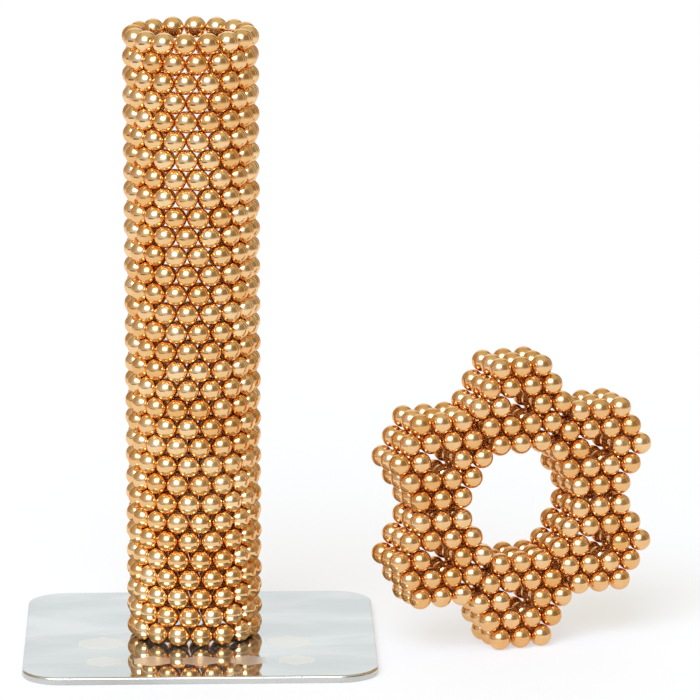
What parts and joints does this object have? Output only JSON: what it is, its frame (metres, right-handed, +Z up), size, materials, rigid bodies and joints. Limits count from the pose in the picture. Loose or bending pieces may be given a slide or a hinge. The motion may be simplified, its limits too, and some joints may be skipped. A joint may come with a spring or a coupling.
{
  "type": "magnetic desk sculpture",
  "caption": "Sphere magnets stacked in rings as a hollow tower on a square steel plate, with a star of hexagonal magnet blocks standing beside it.",
  "frame": {"origin": "centre of the steel plate's underside, on the desk", "axes": "+Z up, +X from the plate towards the star's side, -Y to the front, the side from which the star's open middle is seen"},
  "size_m": [0.0713, 0.0398, 0.071],
  "materials": {
    "polished_steel": "polished sheet with faint cloudy rolling marks",
    "gold_plating": "mirror-bright copper-gold plating"
  },
  "bodies": {
    "base": {"base_plate": "polished_steel"},
    "tower_foot": {"tower_ring_01": "gold_plating"},
    "tower_lower": {"tower_ring_02": "gold_plating", "tower_ring_03": "gold_plating", "tower_ring_04": "gold_plating", "tower_ring_05": "gold_plating", "tower_ring_06": "gold_plating", "tower_ring_07": "gold_plating", "tower_ring_08": "gold_plating", "tower_ring_09": "gold_plating", "tower_ring_10": "gold_plating", "tower_ring_11": "gold_plating"},
    "tower_middle": {"tower_ring_12": "gold_plating", "tower_ring_13": "gold_plating", "tower_ring_14": "gold_plating", "tower_ring_15": "gold_plating", "tower_ring_16": "gold_plating", "tower_ring_17": "gold_plating", "tower_ring_18": "gold_plating", "tower_ring_19": "gold_plating", "tower_ring_20": "gold_plating", "tower_ring_21": "gold_plating"},
    "tower_upper": {"tower_ring_22": "gold_plating", "tower_ring_23": "gold_plating", "tower_ring_24": "gold_plating", "tower_ring_25": "gold_plating", "tower_ring_26": "gold_plating", "tower_ring_27": "gold_plating", "tower_ring_28": "gold_plating", "tower_ring_29": "gold_plating", "tower_ring_30": "gold_plating", "tower_ring_31": "gold_plating"},
    "tower_crown": {"tower_ring_32": "gold_plating"},
    "star_foot": {"star_foot_front": "gold_plating", "star_foot_middle": "gold_plating", "star_foot_back": "gold_plating"},
    "star_lower_right": {"star_lower_right_front": "gold_plating", "star_lower_right_middle": "gold_plating", "star_lower_right_back": "gold_plating"},
    "star_upper_right": {"star_upper_right_front": "gold_plating", "star_upper_right_middle": "gold_plating", "star_upper_right_back": "gold_plating"},
    "star_top": {"star_top_front": "gold_plating", "star_top_middle": "gold_plating", "star_top_back": "gold_plating"},
    "star_upper_left": {"star_upper_left_front": "gold_plating", "star_upper_left_middle": "gold_plating", "star_upper_left_back": "gold_plating"},
    "star_lower_left": {"star_lower_left_front": "gold_plating", "star_lower_left_middle": "gold_plating", "star_lower_left_back": "gold_plating"}
  },
  "joints": [
    {"name": "tower_spin", "type": "hinge", "parent": "base", "child": "tower_foot", "pos_m": [-0.0006, 0, 0.0009], "axis": [0, 0, 1], "continuous": true},
    {"name": "tower_lower_lift", "type": "slide", "parent": "tower_foot", "child": "tower_lower", "axis": [0, 0, 1], "range_m": [0, 0.02]},
    {"name": "tower_middle_lift", "type": "slide", "parent": "tower_lower", "child": "tower_middle", "axis": [0, 0, 1], "range_m": [0, 0.02]},
    {"name": "tower_upper_lift", "type": "slide", "parent": "tower_middle", "child": "tower_upper", "axis": [0, 0, 1], "range_m": [0, 0.02]},
    {"name": "tower_crown_lift", "type": "slide", "parent": "tower_upper", "child": "tower_crown", "axis": [0, 0, 1], "range_m": [0, 0.02]},
    {"name": "star_turn", "type": "hinge", "parent": "base", "child": "star_foot", "pos_m": [0.0354, -0.002, 0], "axis": [0, 0, 1], "continuous": true},
    {"name": "star_lower_right_pull", "type": "slide", "parent": "star_foot", "child": "star_lower_right", "axis": [0.8112, 0.3033, -0.5], "range_m": [0, 0.008]},
    {"name": "star_upper_right_pull", "type": "slide", "parent": "star_foot", "child": "star_upper_right", "axis": [0.8112, 0.3033, 0.5], "range_m": [0, 0.008]},
    {"name": "star_top_pull", "type": "slide", "parent": "star_foot", "child": "star_top", "axis": [0, 0, 1], "range_m": [0, 0.008]},
    {"name": "star_upper_left_pull", "type": "slide", "parent": "star_foot", "child": "star_upper_left", "axis": [-0.8112, -0.3033, 0.5], "range_m": [0, 0.008]},
    {"name": "star_lower_left_pull", "type": "slide", "parent": "star_foot", "child": "star_lower_left", "axis": [-0.8112, -0.3033, -0.5], "range_m": [0, 0.008]}
  ]
}
